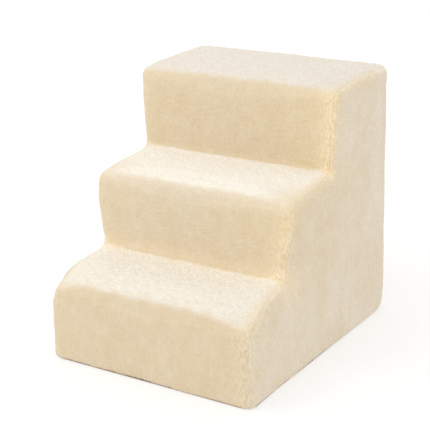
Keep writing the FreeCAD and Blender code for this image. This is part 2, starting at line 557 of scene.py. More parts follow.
def shape_back(p):
    for y, height, move, reach, tall in BACK_SHAPES:
        for side in (-1, 1):
            away = (p - (side * half_width, y, height * MM)) / (reach * MM, reach * MM, tall * MM)
            near = bell(np.linalg.norm(away, axis=1), 1)
            p += near[:, None] * np.array(move) * MM * (side, 1, 1)


def sculpt(p):
    for shape in (crown_treads, droop_first_nosing, sink_tread_corners, draw_in_corners,
                  shape_back):
        shape(p)


def keep_gaps(bm):
    p = points_of(bm)
    fold_gap = np.min([np.hypot(p[:, 1] - y, p[:, 2] - z) for y, z in folds], axis=0)
    gaps = {"seam": seam_gap(p), "side_seam": side_seam_gap(p), "fold": fold_gap}
    for name, values in gaps.items():
        layer = bm.verts.layers.float.new(name)
        for vert, value in zip(bm.verts, values):
            vert[layer] = value


for bm in panels.values():
    keep_gaps(bm)
    reshape(bm, sculpt)
print("sculpted", len(panels), "panels")

# %% [markdown]
# Each panel gets the thickness of its backing, and then only its outer side is divided finely
# enough to carry pile: the turned side stays coarse, because nobody sees it.

# %% Thick panels with a fine outer side
CLOTH_THICKNESS = 5 * MM
PILE_CUTS = 3


def thicken(bm):
    outer = bm.faces.layers.int.new("outer")
    made = bmesh.ops.solidify(bm, geom=bm.faces[:], thickness=CLOTH_THICKNESS)
    fresh = {f for f in made["geom"] if isinstance(f, bmesh.types.BMFace)}
    for face in bm.faces:
        face[outer] = 0 if face in fresh else 1
    for edge in bm.edges:
        edge.smooth = len({face[outer] for face in edge.link_faces}) == 1
    return outer


def refine(bm, outer):
    wanted = [e for e in bm.edges if any(f[outer] for f in e.link_faces)]
    bmesh.ops.subdivide_edges(bm, edges=wanted, cuts=PILE_CUTS, use_grid_fill=True)
    shown = bm.verts.layers.float.new("shown")
    for face in bm.faces:
        face.smooth = True
        if face[outer]:
            for vert in face.verts:
                vert[shown] = 1.0


for bm in panels.values():
    refine(bm, thicken(bm))
print("fine panels", {name: len(bm.faces) for name, bm in panels.items()})

# %% [markdown]
# Pile is made by moving the fine points with a seeded noise. Plain noise gives the broad waves.
# The locks come from a cellular noise, which is high in the middle of each cell and low where
# two cells meet, as tufts of fibre part from each other. Both read one table of random numbers
# that repeats after 64 cells.

# %% Noise for the pile
TABLE_SIZE = 64
FARTHEST = 9.0
CELL_SPREAD = 0.6


class Table:
    def __init__(self, seed, *more):
        self.table = np.random.default_rng(seed).random((TABLE_SIZE,) * 3 + more)

    def at(self, home):
        return self.table[tuple((home % TABLE_SIZE).T)]


class Waves(Table):
    def __call__(self, places, cell):
        scaled = places / cell
        low = np.floor(scaled).astype(int)
        t = smooth_step(scaled - low)
        total = np.zeros(len(places))
        for corner in np.ndindex(2, 2, 2):
            total += np.prod(np.where(corner, t, 1 - t), axis=1) * self.at(low + corner)
        return total


class Locks(Table):
    def __call__(self, places, cell):
        scaled = places / cell
        low = np.floor(scaled - 0.5).astype(int)
        nearest = np.full(len(places), FARTHEST)
        for corner in np.ndindex(2, 2, 2):
            home = low + corner
            away = scaled - (home + (1 - CELL_SPREAD) / 2 + CELL_SPREAD * self.at(home))
            nearest = np.minimum(nearest, (away ** 2).sum(axis=1))
        return 1 - np.clip(nearest / CELL_SPREAD, 0, 1)


waves = [Waves(seed) for seed in range(5)]
locks = [Locks(seed, 3) for seed in (11, 12)]
print("noise tables", len(waves) + len(locks))

# %% [markdown]
# The treads' pile has been stepped on, so it stands up and curls. On the walls it hangs down in
# longer locks. The line between the two is ragged, and the corners and ends of the treads are
# combed down. How far the pile stands up is a mask with a value between 0 and 1 for each point.

# %% Where the pile stands up
STANDS_FROM = (0.42, 0.56)
RAGGED = (16 * MM, 0.2)
CORNER_COMBED = ((0, 30 * MM, 0.5), (1, 52 * MM, 0.95), (2, 26 * MM, 0.5))
EDGE_COMBED = (6 * MM, 24 * MM)
COMBED_FADE = 40 * MM
# FOLD_SHADE lowers the standing mask next to a fold, which paints shade into the crease.
FOLD_SHADE = (6 * MM, 0.45)


def combed_corners(p):
    combed = np.zeros(len(p))
    for step, reach, share in CORNER_COMBED:
        beyond = p - (0, *nosings[step])
        beyond[:, 0] = np.abs(p[:, 0]) - half_width
        combed = np.maximum(combed, share * bell(np.linalg.norm(beyond, axis=1), reach))
    return combed


def combed_edges(p):
    inward = (half_width - np.abs(p[:, 0]) - EDGE_COMBED[0]) / EDGE_COMBED[1]
    below_top = smooth_step((tread_heights[1] - p[:, 2]) / COMBED_FADE + 1.5)
    return (1 - smooth_step(inward)) * below_top


def standing(p, n, fold):
    ragged = RAGGED[1] * (waves[3](p, RAGGED[0]) - 0.5)
    upward = smooth_step((n[:, 2] + ragged - STANDS_FROM[0]) / STANDS_FROM[1])
    upward *= 1 - combed_corners(p)
    return upward * (1 - FOLD_SHADE[1] * bell(fold, FOLD_SHADE[0]))


print("corners combed by", [share for step, reach, share in CORNER_COMBED])

# %% [markdown]
# Along the upright side seams the sewing has parted the pile into fine strands, most of all on
# the right, and the golden roots glow through there. Near a nosing the pile closes again, by the
# shares in PARTED_BELOW.

# %% Where the pile is parted
PARTED_REACH = {"step": 22 * MM, "side": 6 * MM}
PARTED_LEFT = 0.3
PARTED_STANDING = 0.6
PARTED_LOW = 0.6
PARTED_BELOW = [(0, 0.1), (1, 0.75), (2, 0.15)]
PARTED_AREA = (50 * MM, 60 * MM)
PARTED_BACK = (200 * MM, 20 * MM)
GLOW_REACH = 105 * MM
GLOW_LOW = 0.12
GLOW_RISE = (100 * MM, 150 * MM)
BEND_HIGHLIGHT_REACH = 20 * MM


def left_share(p):
    return np.where(p[:, 0] < 0, PARTED_LEFT, 1)


def seen_share(p):
    return left_share(p) * smooth_step((PARTED_BACK[0] - p[:, 1]) / PARTED_BACK[1])


def parting(p, side_gap, upward, reach):
    kept = 1 - PARTED_STANDING * upward
    parted = bell(side_gap, reach * kept) * kept * seen_share(p)
    parted *= PARTED_LOW + (1 - PARTED_LOW) * smooth_step(p[:, 2] / tread_heights[1])
    for step, share in PARTED_BELOW:
        below = bell(p[:, 2] - tread_heights[step], PARTED_AREA[0])
        parted *= 1 - share * below * bell(p[:, 1] - riser_faces[step], PARTED_AREA[1])
    return parted


def root_glow(p, side_gap, upward):
    rise = smooth_step((p[:, 2] - GLOW_RISE[0]) / GLOW_RISE[1])
    glow = bell(side_gap, GLOW_REACH) * (1 - upward) * seen_share(p)
    return glow * (GLOW_LOW + (1 - GLOW_LOW) * rise)


# This mask paints a highlight of strand colour where the pile bends over an edge.
def painted_bend_highlight(p, side_gap, upward):
    return 4 * upward * (1 - upward) * bell(side_gap, BEND_HIGHLIGHT_REACH) * left_share(p)


print("left seam parted", PARTED_LEFT, "as much as the right one")

# %% [markdown]
# Two more masks only colour the plush, and both are painted light. The wall and tread next to a
# fold are painted lighter, a painted bounce light, and the upper rim of each riser is painted
# paler, a painted highlight below the nosing.

# %% Painted light at the folds and below the nosings
FOOT_LIGHT = ((26 * MM, 50 * MM, 0.7), (9 * MM, 9 * MM, 0.0))
BROW_HIGHLIGHT = (0.12, 0.45, 0.20)
BROW_HIGHLIGHT_REACH = 40 * MM
BROW_HIGHLIGHT_FOLD = 14 * MM


def foot_light(p, fold, upward):
    lower = p[:, 2] < (tread_heights[0] + tread_heights[1]) / 2
    wall, tread, share = (np.where(lower, *pair) for pair in zip(*FOOT_LIGHT))
    return (1 - upward) * bell(fold, wall) + upward * share * bell(fold, tread)


# The paler rim below each nosing is a painted highlight.
def brow(p, fold, upward, step):
    below = smooth_step((tread_heights[step] - p[:, 2]) / BROW_HIGHLIGHT_REACH)
    return BROW_HIGHLIGHT[step] * (1 - below) * (1 - upward) * (1 - bell(fold, BROW_HIGHLIGHT_FOLD))


print("pale rims", BROW_HIGHLIGHT)

# %% [markdown]
# The height of the pile is curls on the treads, hanging locks on the walls and fine strands
# where it is parted. Right on a seam the cloth sinks into a groove, and under the pile the
# cloth has long soft dents and rolls.

# %% The height of the pile
CURL = (5.8 * MM, 2.0 * MM)
HANG = (3.6 * MM, 0.9 * MM)
HANG_STRETCH = np.array((1, 1, 0.45))
PARTED = (2.8 * MM, 1.2 * MM)
PARTED_STRETCH = np.array((1, 1, 0.32))
WOBBLE = (14 * MM, 5 * MM)
GROOVE = (2.4 * MM, 0.4 * MM)
GROOVE_FILLED = 0.8
DENT = (70 * MM, 2.4 * MM)
ROLL = (22 * MM, 1.0 * MM)


def pile_height(p, upward, parted):
    wobble = np.stack([w(p, WOBBLE[0]) for w in waves[:3]], axis=1) * WOBBLE[1]
    curls = locks[0](p + wobble, CURL[0])
    hang = locks[1](p * HANG_STRETCH + wobble, HANG[0])
    lock = locks[0](p * PARTED_STRETCH + wobble, PARTED[0])
    level = upward * curls + (1 - upward) * hang
    height = upward * curls * CURL[1] + (1 - upward) * hang * HANG[1]
    height += parted * (lock * PARTED[1] - height)
    level += parted * (lock - level)
    return level, height


def cloth_height(p, seam, upward):
    soft = DENT[1] * (waves[3](p, DENT[0]) - 0.5) + ROLL[1] * (waves[4](p, ROLL[0]) - 0.5)
    return soft - GROOVE[1] * bell(seam, GROOVE[0]) * (1 - GROOVE_FILLED * upward)


print("curls", round(CURL[1] / MM, 1), "mm, hanging locks", round(HANG[1] / MM, 1), "mm high")

# %% [markdown]
# The masks are worked out for each panel and kept on its points, where the plush finish reads
# them later. Then the points of the outer side move along their outward direction, and hanging
# pile also leans down.

# %% Pile on every panel
PILE_LEAN = 0.7
TINY = 1e-6


def read_values(mesh, name):
    values = np.zeros(len(mesh.vertices))
    mesh.attributes[name].data.foreach_get("value", values)
    return values


def pile_masks(name, p, n, mesh):
    side_gap, fold = read_values(mesh, "side_seam"), read_values(mesh, "fold")
    reach = PARTED_REACH["side" if "side" in name else "step"]
    upward = standing(p, n, fold)
    masks = {"parted": parting(p, side_gap, upward, reach),
             "glow": root_glow(p, side_gap, upward), "brow": np.zeros(len(p))}
    upward = upward * (1 - combed_edges(p))
    masks |= {"upward": upward, "bend": painted_bend_highlight(p, side_gap, upward),
              "foot": foot_light(p, fold, upward)}
    if "step" in name:
        masks["brow"] = brow(p, fold, upward, int(name[-1]) - 1)
    else:
        masks["glow"] = masks["glow"] * bell(side_gap, reach)
    return masks


def add_pile(obj):
    mesh = obj.data
    p = read_vectors(mesh.vertices, "co")
    n = read_vectors(mesh.attributes["outward"].data, "vector")
    n /= np.maximum(np.linalg.norm(n, axis=1), TINY)[:, None]
    masks = pile_masks(obj.name, p, n, mesh)
    upward = masks["upward"]
    masks["pile"], height = pile_height(p, upward, masks["parted"])
    rise = height + cloth_height(p, read_values(mesh, "seam"), upward)
    lean = np.zeros_like(n)
    lean[:, 2] = -PILE_LEAN * (1 - upward)
    shown = read_values(mesh, "shown")
    p += shown[:, None] * (n * rise[:, None] + lean * height[:, None])
    p[:, 2] = np.maximum(p[:, 2], base_top)
    mesh.vertices.foreach_set("co", p.ravel())
    for name, values in masks.items():
        mesh.attributes.new(name, "FLOAT", "POINT").data.foreach_set("value", values)
    mesh.update()


cover = {}
for name, bm in panels.items():
    cover[name] = to_object(bm, name)
    add_pile(cover[name])
print("piled", {name: len(obj.data.polygons) for name, obj in cover.items()})

# %% [markdown]
# Every panel rides on the stairs and stands for its plain solid in the frame.

# %% The cover's panels take their places
STAIRS = "stairs"


def fit_piece(obj, body, slot, *nodes):
    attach(obj, body)
    if nodes:
        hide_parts(*nodes)


for name, obj in cover.items():
    fit_piece(obj, STAIRS, "plush", name.replace("plush", "cover"))
print("cover pieces", len(cover))

# %% [markdown]
# Under the stairs is a brown non-slip cloth. It shows as a thin line round the foot, and from
# below with its rows of rubber dots and the stitching that holds it to the plush.

# %% Pieces that start as a block
def block_between(low, high):
    bm = bmesh.new()
    low, high = Vector(low), Vector(high)
    bmesh.ops.create_cube(bm, size=1)
    bmesh.ops.scale(bm, vec=high - low, verts=bm.verts)
    bmesh.ops.translate(bm, vec=(low + high) / 2, verts=bm.verts)
    return bm


def smooth_piece(bm, name, crease=math.radians(35)):
    for face in bm.faces:
        face.smooth = True
    made = to_object(bm, name)
    made.data.set_sharp_from_angle(angle=crease)
    return made


def rounded_block(low, high, radius):
    bm = block_between(low, high)
    round_edges(bm, bm.edges[:], radius)
    return bm


print("a plain block has", len(block_between((0, 0, 0), (1, 1, 1)).faces), "faces")

# %% The base cloth
GRIP_HEIGHT = 0.6 * MM
BASE_INSET = 1.8 * MM
BASE_RIM = 0.5 * MM
PLAN_CORNER = 21 * MM
CORNER_CUTS = range(6, 54, 6)
FOOT_CUTS = range(84, 460, 30)


def creases(bm, angle=1):
    return [e for e in bm.edges if e.calc_face_angle(0) > angle]


cloth = block_between(base_low + Vector((BASE_INSET, BASE_INSET, GRIP_HEIGHT)),
                      base_high - Vector((BASE_INSET, BASE_INSET, 0)))
round_edges(cloth, edges_along(cloth, 2), PLAN_CORNER)
round_edges(cloth, creases(cloth), BASE_RIM)
cut(cloth, [square_to(0, side * (half_width - inward * MM))
            for inward in CORNER_CUTS for side in (-1, 1)], dist=0)
cut(cloth, [square_to(1, back_face - inward * MM) for inward in [*CORNER_CUTS, *FOOT_CUTS]], dist=0)
reshape(cloth, shape_back)
base_cloth = smooth_piece(cloth, "base_cloth")
fit_piece(base_cloth, STAIRS, "grip_fabric", "cover_base")
print("base cloth", len(base_cloth.data.polygons), "faces")

# %% [markdown]
# One dot is modelled in a corner, and two array modifiers repeat it in rows and columns.

# %% Rubber dots
DOT_PITCH = 13 * MM
DOT_RADIUS = 2.1 * MM
DOT_MARGIN = 30 * MM
DOT_TAPER = 0.7


def rows(obj, counts, step):
    for axis, count in enumerate(counts):
        row = obj.modifiers.new("row", "ARRAY")
        row.count = count
        row.use_relative_offset = False
        row.use_constant_offset = True
        offset = [0, 0, 0]
        offset[axis] = step
        row.constant_offset_displace = offset


dot = bmesh.new()
bmesh.ops.create_cone(dot, cap_ends=True, segments=10, radius1=DOT_TAPER * DOT_RADIUS,
                      radius2=DOT_RADIUS, depth=GRIP_HEIGHT)
counts = [int((2 * reach - 2 * DOT_MARGIN) / DOT_PITCH) + 1 for reach in (half_width, back_face)]
corner = [-(count - 1) * DOT_PITCH / 2 for count in counts]
bmesh.ops.translate(dot, verts=dot.verts, vec=(*corner, GRIP_HEIGHT / 2))
grip_dots = smooth_piece(dot, "grip_dots")
rows(grip_dots, counts, DOT_PITCH)
fit_piece(grip_dots, STAIRS, "grip_fabric")
print("grip dots", counts[0] * counts[1])

# %% [markdown]
# The stitches follow the rounded outline of the base. What is left over of one stretch of the
# outline is carried on to the next, so that the stitches stay evenly spaced.

# %% Stitching round the base
STITCH_PITCH = 6 * MM
STITCH_LENGTH = 4.2 * MM
STITCH_INSET = 9 * MM
STITCH_SIZE = Matrix.Diagonal((STITCH_LENGTH / 2, 0.5 * MM, 0.3 * MM, 1))
LOOP_POINTS = 48


def rounded_loop(half_x, half_y, radius):
    ring = bmesh.new()
    bmesh.ops.create_circle(ring, segments=LOOP_POINTS, radius=radius)
    bmesh.ops.rotate(ring, verts=ring.verts, matrix=Matrix.Rotation(math.pi / LOOP_POINTS, 3, "Z"))
    ring.verts.ensure_lookup_table()
    loop = []
    for vert in ring.verts:
        x, y = vert.co.x, vert.co.y
        loop.append(Vector((x + math.copysign(half_x - radius, x),
                            y + math.copysign(half_y - radius, y), 0)))
    ring.free()
    return loop


def stitch_row(loop, height):
    bm = bmesh.new()
    carried = 0
    for start, end in zip(loop, loop[1:] + loop[:1]):
        run = end - start
        turn = run.to_track_quat("X", "Z").to_matrix().to_4x4()
        while carried < run.length:
            place = start + run.normalized() * carried
            place.z = height
            bmesh.ops.create_uvsphere(bm, u_segments=6, v_segments=4, radius=1,
                                      matrix=Matrix.Translation(place) @ turn @ STITCH_SIZE)
            carried += STITCH_PITCH
        carried -= run.length
    return bm


hem = rounded_loop(half_width - STITCH_INSET, back_face - STITCH_INSET, PLAN_CORNER - STITCH_INSET)
stitches = stitch_row(hem, GRIP_HEIGHT)
reshape(stitches, shape_back)
base_stitches = smooth_piece(stitches, "base_stitches", math.pi)
fit_piece(base_stitches, STAIRS, "grip_fabric")
print("base stitches", len(base_stitches.data.polygons), "faces")

# %% [markdown]
# The zip is a coil zip: two woven tapes, each with a nylon wire wound along its edge, and the
# turns of one wire lie between the turns of the other. One turn is swept into a whole helix
# with a single spin that also moves along.

# %% Zip tapes
TAPE_RIPPLE = 0.25 * MM
TAPE_GAP = 0.2 * MM
RIPPLE_LENGTH = 16 * MM


def quarter_turn(bm, axis):
    bmesh.ops.rotate(bm, verts=bm.verts, matrix=Matrix.Rotation(math.pi / 2, 3, axis))


def ripple(p):
    away = np.abs(p[:, 2] - zip_line) / SLOT_HALF_HEIGHT
    p[:, 1] += TAPE_RIPPLE * np.clip(away - 0.5, 0, 1) * (2 * waves[0](p, RIPPLE_LENGTH) - 1)


def zip_tape(node, above):
    low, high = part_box(node)
    inner_edge = low if above > 0 else high
    inner_edge.z = zip_line + above * TAPE_GAP
    bm = bmesh.new()
    bmesh.ops.create_grid(bm, x_segments=180, y_segments=6, size=0.5)
    quarter_turn(bm, "X")
    bmesh.ops.scale(bm, vec=(high.x - low.x, 1, high.z - low.z), verts=bm.verts)
    bmesh.ops.translate(bm, verts=bm.verts, vec=((low + high) / 2))
    reshape(bm, ripple)
    bmesh.ops.solidify(bm, geom=bm.faces[:], thickness=high.y - low.y)
    return smooth_piece(bm, node.replace("zip_tape", "woven_tape"))


for side, above in (("upper", 1), ("lower", -1)):
    fit_piece(zip_tape("zip_tape_" + side, above), STAIRS, "zip_tape", "zip_tape_" + side)
print("tapes", round(tape_box[1].x * 2 / MM), "mm long")

# %% [markdown]
# The lower coil starts half a turn further along, and so its turns lie between the upper ones.

# %% Zip coils
COIL_PITCH = 1.5 * MM
WIRE_RADIUS = 0.36 * MM
COIL_TURN_STEPS = 9
COIL_REACH = 3.7 * MM
COIL_OVERLAP = 0.7 * MM


def zip_coil(node, above, shift):
    low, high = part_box(node)
    turns = int((high.x - low.x) / COIL_PITCH) - 1
    middle = Vector((low.x + COIL_PITCH * (0.5 + shift), (low.y + high.y) / 2, 0))
    wide = COIL_REACH / 2 - WIRE_RADIUS
    bm = bmesh.new()
    bmesh.ops.create_circle(bm, segments=6, radius=WIRE_RADIUS)
    quarter_turn(bm, "Y")
    bmesh.ops.translate(bm, verts=bm.verts, vec=middle + Vector((0, 0, wide)))
    bmesh.ops.spin(bm, geom=bm.verts[:] + bm.edges[:], cent=middle, axis=(1, 0, 0),
                   dvec=(COIL_PITCH / COIL_TURN_STEPS, 0, 0), angle=2 * math.pi * turns,
                   steps=turns * COIL_TURN_STEPS, use_merge=False)
    bmesh.ops.holes_fill(bm, edges=[e for e in bm.edges if e.is_boundary])
    flat = ((high.y - low.y) / 2 - WIRE_RADIUS) / wide
    bmesh.ops.scale(bm, vec=(1, flat, 1), space=Matrix.Translation(-middle), verts=bm.verts)
    lift = zip_line + above * (COIL_REACH / 2 - COIL_OVERLAP)
    bmesh.ops.translate(bm, verts=bm.verts, vec=(0, 0, lift))
    bmesh.ops.recalc_face_normals(bm, faces=bm.faces)
    return smooth_piece(bm, node.replace("zip_coil", "nylon_coil"), math.pi)


for side, above, shift in (("upper", 1, 0), ("lower", -1, 0.5)):
    coil = zip_coil("zip_coil_" + side, above, shift)
    fit_piece(coil, STAIRS, "zip_coil", "zip_coil_" + side)
print("coil", len(coil.data.polygons), "faces")

# %% [markdown]
# A row of small stitches holds each coil to its tape, and a crimped stop closes each end.

# %% Sewing thread and stops
THREAD_PITCH = 2.4 * MM
THREAD_LIFT = 1.9 * MM
THREAD_SIZE = Matrix.Diagonal((1.0 * MM, 0.22 * MM, 0.28 * MM, 1))
STOP_ROUND = 0.5 * MM
thread_count = int((2 * coil_box[1].x) / THREAD_PITCH) - 1
for side, above in (("upper", 1), ("lower", -1)):
    thread = bmesh.new()
    start = Vector((coil_box[0].x + THREAD_PITCH, coil_box[1].y, zip_line + above * THREAD_LIFT))
    bmesh.ops.create_uvsphere(thread, u_segments=8, v_segments=6, radius=1,
                              matrix=Matrix.Translation(start) @ THREAD_SIZE)
    thread_row = smooth_piece(thread, "coil_thread_" + side, math.pi)
    rows(thread_row, [thread_count], THREAD_PITCH)
    fit_piece(thread_row, STAIRS, "zip_tape")
for side in ("left", "right"):
    stop = rounded_block(*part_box("zip_stop_" + side), STOP_ROUND)
    fit_piece(smooth_piece(stop, "crimped_stop_" + side), STAIRS, "zip_metal",
              "zip_stop_" + side)
print("threads", thread_count, "stitches each, and two stops")

# %% [markdown]
# The slider is two plates held apart by a neck, with an arch on the front that the pull hooks
# into. It narrows towards the closed end. The plates are an outline of a few points, extruded
# and bevelled, and the arch is a small rectangle spun through half a turn.

# %% The slider
slider_low, slider_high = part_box("zip_slider")
slider_x = (slider_low.x + slider_high.x) / 2
PLATE = 1.2 * MM
PLATE_ROUND = (0.9 * MM, 0.35 * MM)
FLANGE_HALF = 0.35 * MM
SLIDER_OUTLINE = [(-5.5, 3.0), (-4.3, 4.0), (-0.5, 4.1), (1.5, 4.65), (4.2, 4.7), (5.5, 3.6)]


def plate(outline, y_low, y_high, corner, rim):
    bm = bmesh.new()
    points = [(x * MM, z * MM) for x, z in outline]
    points += [(x, -z) for x, z in reversed(points)]
    face = bm.faces.new([bm.verts.new((slider_x + x, y_low, zip_line + z)) for x, z in points])
    extrude(bm, [face], (0, y_high - y_low, 0))
    round_edges(bm, edges_along(bm, 1), corner)
    round_edges(bm, creases(bm), rim)
    return bm


def join_into(target, part):
    mesh = bpy.data.meshes.new("part")
    part.to_mesh(mesh)
    part.free()
    target.from_mesh(mesh)
    bpy.data.meshes.remove(mesh)


def arch(middle, reach, width, thickness):
    bm = bmesh.new()
    bmesh.ops.create_grid(bm, x_segments=1, y_segments=1, size=0.5)
    bmesh.ops.scale(bm, vec=(thickness, width, 1), verts=bm.verts)
    quarter_turn(bm, "X")
    bmesh.ops.translate(bm, verts=bm.verts, vec=middle + Vector((reach - thickness / 2, 0, 0)))
    bmesh.ops.spin(bm, geom=bm.verts[:] + bm.edges[:] + bm.faces[:], cent=middle, axis=(0, 0, 1),
                   angle=math.pi, steps=14, use_merge=False)
    bmesh.ops.recalc_face_normals(bm, faces=bm.faces)
    return bm


slider = plate(SLIDER_OUTLINE, slider_low.y, slider_low.y + PLATE, *PLATE_ROUND)
front_plate = coil_box[1].y + 0.25 * MM
join_into(slider, plate(SLIDER_OUTLINE, front_plate, front_plate + PLATE, *PLATE_ROUND))
join_into(slider, plate([(3.2, 0.6), (5.2, 0.8)], slider_low.y + 0.5 * MM,
                        front_plate + 0.5 * MM, 0.2 * MM, 0.1 * MM))
for above in (1, -1):
    low = Vector((slider_x - 4 * MM, tape_box[1].y + 0.3 * MM, zip_line + above * 3.45 * MM))
    high = Vector((slider_x + 4 * MM, front_plate + 0.5 * MM, low.z + FLANGE_HALF))
    join_into(slider, rounded_block(low - Vector((0, 0, FLANGE_HALF)), high, 0.2 * MM))
arch_foot = Vector((slider_x, front_plate + PLATE - 0.15 * MM, zip_line))
bail = arch(arch_foot, slider_high.y - arch_foot.y, 1.6 * MM, 0.7 * MM)
bmesh.ops.scale(bail, vec=(1.35, 1, 1), space=Matrix.Translation(-arch_foot), verts=bail.verts)
round_edges(bail, creases(bail), 0.18 * MM)
join_into(slider, bail)
slider_piece = smooth_piece(slider, "cast_slider")
fit_piece(slider_piece, "zip_slider", "zip_metal", "zip_slider")
print("slider", len(slider_piece.data.polygons), "faces")

# %% [markdown]
# The pull is a flat tab with a window. Its short bar lies under the arch, so the tab can tip
# over from one side to the other.

# %% The pull
pull_low, pull_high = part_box("zip_pull")
PULL_COLUMNS = [-0.5, 0.5, 4.8, 7.2, 22.0, 24.0]
PULL_ROWS = [-3.0, -1.5, 1.5, 3.0]
PULL_CORNER = 1.8 * MM
PULL_RIM = 0.22 * MM
RIBS = (15.0, 16.8, 18.6, 20.4)
RIB_WIDTH = 0.7 * MM
RIB_HALF_LENGTH = 1.9 * MM
RIB_HEIGHT = 0.2 * MM


def pull_tab():
    bm = bmesh.new()
    bmesh.ops.create_grid(bm, x_segments=len(PULL_COLUMNS) - 1, y_segments=len(PULL_ROWS) - 1,
                          size=1)
    bm.verts.ensure_lookup_table()
    for vert in bm.verts:
        column = round((vert.co.x + 1) / 2 * (len(PULL_COLUMNS) - 1))
        row = round((vert.co.y + 1) / 2 * (len(PULL_ROWS) - 1))
        vert.co = Vector((PULL_COLUMNS[column], 0, PULL_ROWS[row])) * MM
    window = [f for f in bm.faces if 0.5 * MM < f.calc_center_median().x < 4.8 * MM
              and abs(f.calc_center_median().z) < MM]
    bmesh.ops.delete(bm, geom=window, context="FACES")
    extrude(bm, bm.faces[:], (0, pull_high.y - pull_low.y, 0))
    bmesh.ops.translate(bm, verts=bm.verts, vec=(slider_x, pull_low.y, zip_line))
    end_corners = [e for e in edges_along(bm, 1)
                   if e.verts[0].co.x > pull_high.x - MM and e.calc_face_angle(0) > 1]
    round_edges(bm, end_corners, PULL_CORNER)
    round_edges(bm, creases(bm, 0.8), PULL_RIM)
    return bm


pull = pull_tab()
for x in RIBS:
    rib_low = Vector((slider_x + x * MM, pull_low.y - RIB_HEIGHT, zip_line - RIB_HALF_LENGTH))
    rib_high = Vector((rib_low.x + RIB_WIDTH, pull_high.y + RIB_HEIGHT,
                       zip_line + RIB_HALF_LENGTH))
    join_into(pull, rounded_block(rib_low, rib_high, 0.15 * MM))
pull_piece = smooth_piece(pull, "pull_tab")
fit_piece(pull_piece, "zip_pull", "zip_metal", "zip_pull")
print("pull", len(pull_piece.data.polygons), "faces")

# %% [markdown]
# Under the cover is a thin liner bag, and in it the foam: three firm slabs glued in a stack, and
# a softer pad on each tread. They follow the same sculpting as the cover over them.

# %% The liner
LINER_NET = 10 * MM
LINER_CLOTH = 0.6 * MM
liner_low, liner_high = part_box("inner_liner")


def sculpted_net(bm, spacing):
    net = even_net(bm, spacing)
    soften_steps(net)
    reshape(net, sculpt)
    return net


bag = sculpted_net(stepped_block(half_width - liner_high.x, liner_low.z), LINER_NET)
bmesh.ops.solidify(bag, geom=bag.faces[:], thickness=LINER_CLOTH)
liner = smooth_piece(bag, "liner_bag", math.pi)
fit_piece(liner, STAIRS, "liner_cloth", "inner_liner")
print("liner", len(liner.data.polygons), "faces")

# %% Foam slabs and pads
FOAM_NET = 8 * MM
FOAM_EDGE = 16 * MM
foam_pieces = {f"foam_block_{place}": (f"foam_slab_{place}", "core_foam", 1.0)
               for place in ("bottom", "middle", "top")}
foam_pieces |= {f"soft_pad_{step}": (f"tread_pad_{step}", "soft_foam", 0.8)
                for step in (1, 2, 3)}
for name, (node, slot, fill) in foam_pieces.items():
    foam = block_between(*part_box(node))
    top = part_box(node)[1].z
    round_edges(foam, edges_along(foam, 2), FOAM_EDGE)
    if "pad" in name:
        round_edges(foam, [e for e in foam.edges if min(v.co.z for v in e.verts) > top - MM],
                    FOAM_EDGE)
    foam_piece = smooth_piece(sculpted_net(foam, FOAM_NET), name, math.pi)
    fit_piece(foam_piece, STAIRS, slot, node)
    print(name, len(foam_piece.data.polygons), "faces")

# %% [markdown]
# Now the finishes. Effects that several materials share are node groups with named inputs and
# outputs. First come two helpers: one adds a node with its values, one starts a group.

# %% Helpers for node trees
def plug(tree, value, socket):
    if isinstance(value, bpy.types.NodeSocket):
        tree.links.new(value, socket)
    else:
        socket.default_value = value


def put(tree, kind, **values):
    node = tree.nodes.new(kind)
    for key, value in values.items():
        if key[0].islower():
            setattr(node, key, value)
        else:
            plug(tree, value, node.inputs[key.replace("_", " ")])
    return node


def reckoned(tree, kind, operation, values):
    node = put(tree, kind, operation=operation)
    for socket, value in zip(node.inputs, values):
        plug(tree, value, socket)
    return node.outputs[0]


def maths(tree, operation, *values):
    return reckoned(tree, "ShaderNodeMath", operation, values)


def vector_maths(tree, operation, *values):
    return reckoned(tree, "ShaderNodeVectorMath", operation, values)


def ramp(tree, value, low, high, to_low=0.0, to_high=1.0):
    return put(tree, "ShaderNodeMapRange", interpolation_type="SMOOTHSTEP", Value=value,
               From_Min=low, From_Max=high, To_Min=to_low, To_Max=to_high).outputs["Result"]


def mixed(tree, factor, first, second):
    node = put(tree, "ShaderNodeMix", data_type="RGBA")
    for index, value in ((0, factor), (6, first), (7, second)):
        plug(tree, value, node.inputs[index])
    return node.outputs[2]


def new_effect(name, inputs, outputs):
    group = bpy.data.node_groups.new(name, "ShaderNodeTree")
    for label, value in inputs.items():
        kind = "NodeSocketColor" if isinstance(value, tuple) else "NodeSocketFloat"
        group.interface.new_socket(label, in_out="INPUT", socket_type=kind).default_value = value
    for label, kind in outputs.items():
        group.interface.new_socket(label, in_out="OUTPUT", socket_type="NodeSocket" + kind)
    given = group.nodes.new("NodeGroupInput").outputs
    wanted = group.nodes.new("NodeGroupOutput").inputs
    return group, given, wanted


def object_place(tree):
    return tree.nodes.new("ShaderNodeTexCoord").outputs["Object"]


def stretched(tree, across, hang):
    sizes = put(tree, "ShaderNodeCombineXYZ", X=across, Y=1.0, Z=hang).outputs[0]
    return vector_maths(tree, "MULTIPLY", object_place(tree), sizes)


print("node helpers ready")
